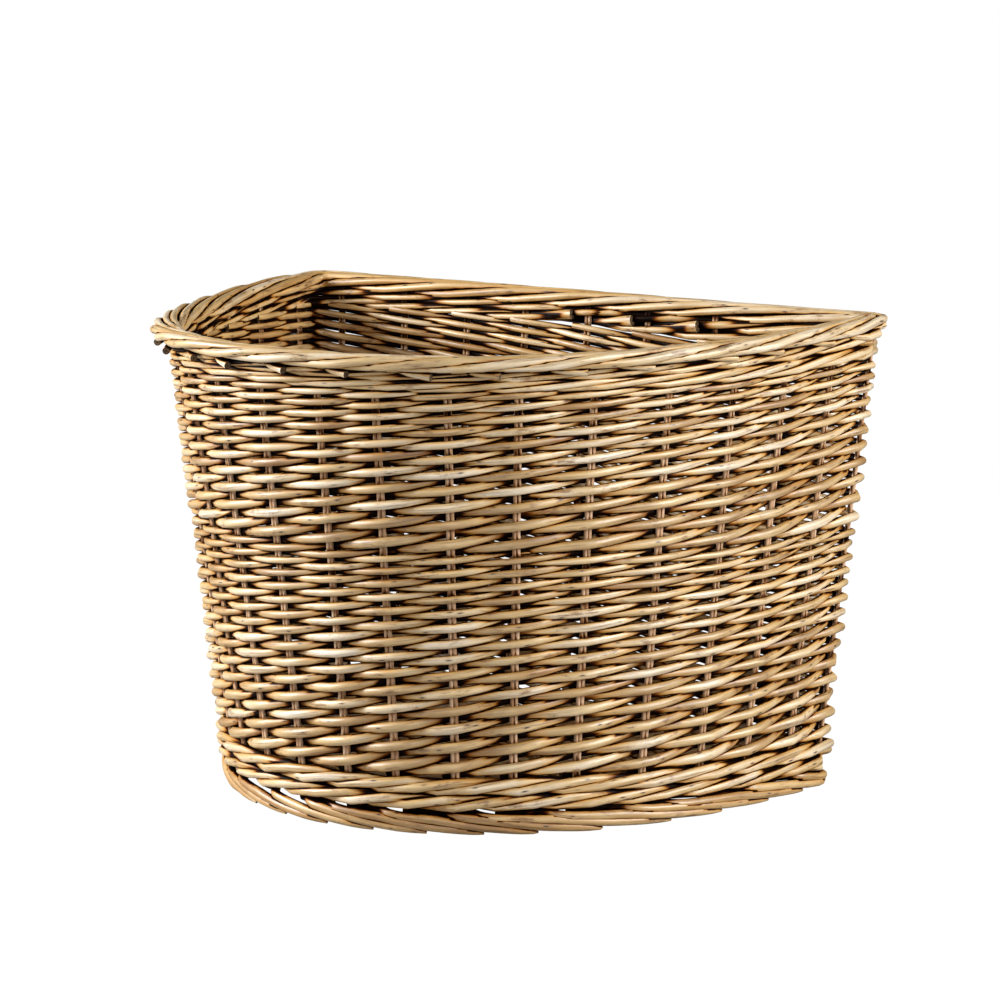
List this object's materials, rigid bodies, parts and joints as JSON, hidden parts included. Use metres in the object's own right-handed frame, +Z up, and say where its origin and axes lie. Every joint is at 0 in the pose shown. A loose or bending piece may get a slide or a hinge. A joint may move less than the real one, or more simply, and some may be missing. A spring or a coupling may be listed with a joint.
{
  "type": "bicycle basket",
  "caption": "D-shaped woven willow basket with a straight back for a handlebar, flared sides, a rolled rim border and a foot border.",
  "frame": {"origin": "on the floor, under the middle of the basket's overall box", "axes": "+X along the straight back, to the right as seen from the curved front; +Y to the straight back, which lies against the handlebar; +Z up"},
  "size_m": [0.46, 0.3664, 0.3072],
  "materials": {
    "side_weave": "satin",
    "stakes": "matte",
    "waling": "satin",
    "border": "satin",
    "foot": "satin",
    "base_weave": "satin",
    "base_sticks": "matte"
  },
  "bodies": {
    "root": {"side_weave_right_1": "side_weave", "side_weave_front_1": "side_weave", "side_weave_left_1": "side_weave", "side_weave_back_1": "side_weave", "side_weave_right_2": "side_weave", "side_weave_front_2": "side_weave", "side_weave_left_2": "side_weave", "side_weave_back_2": "side_weave", "side_weave_right_3": "side_weave", "side_weave_front_3": "side_weave", "side_weave_left_3": "side_weave", "side_weave_back_3": "side_weave", "stake_01": "stakes", "stake_02": "stakes", "stake_03": "stakes", "stake_04": "stakes", "stake_05": "stakes", "stake_06": "stakes", "stake_07": "stakes", "stake_08": "stakes", "stake_09": "stakes", "stake_10": "stakes", "stake_11": "stakes", "stake_12": "stakes", "stake_13": "stakes", "stake_14": "stakes", "stake_15": "stakes", "stake_16": "stakes", "stake_17": "stakes", "stake_18": "stakes", "stake_19": "stakes", "stake_20": "stakes", "stake_21": "stakes", "stake_22": "stakes", "stake_23": "stakes", "stake_24": "stakes", "stake_25": "stakes", "stake_26": "stakes", "stake_27": "stakes", "stake_28": "stakes", "lower_wale_outer": "waling", "lower_wale_inner": "waling", "upper_wale_outer": "waling", "upper_wale_inner": "waling", "rim_border": "border", "foot_border": "foot", "base_weave": "base_weave", "base_stick_1": "base_sticks", "base_stick_2": "base_sticks", "base_stick_3": "base_sticks", "base_stick_4": "base_sticks", "base_stick_5": "base_sticks", "base_stick_6": "base_sticks", "base_stick_7": "base_sticks"}
  },
  "joints": []
}
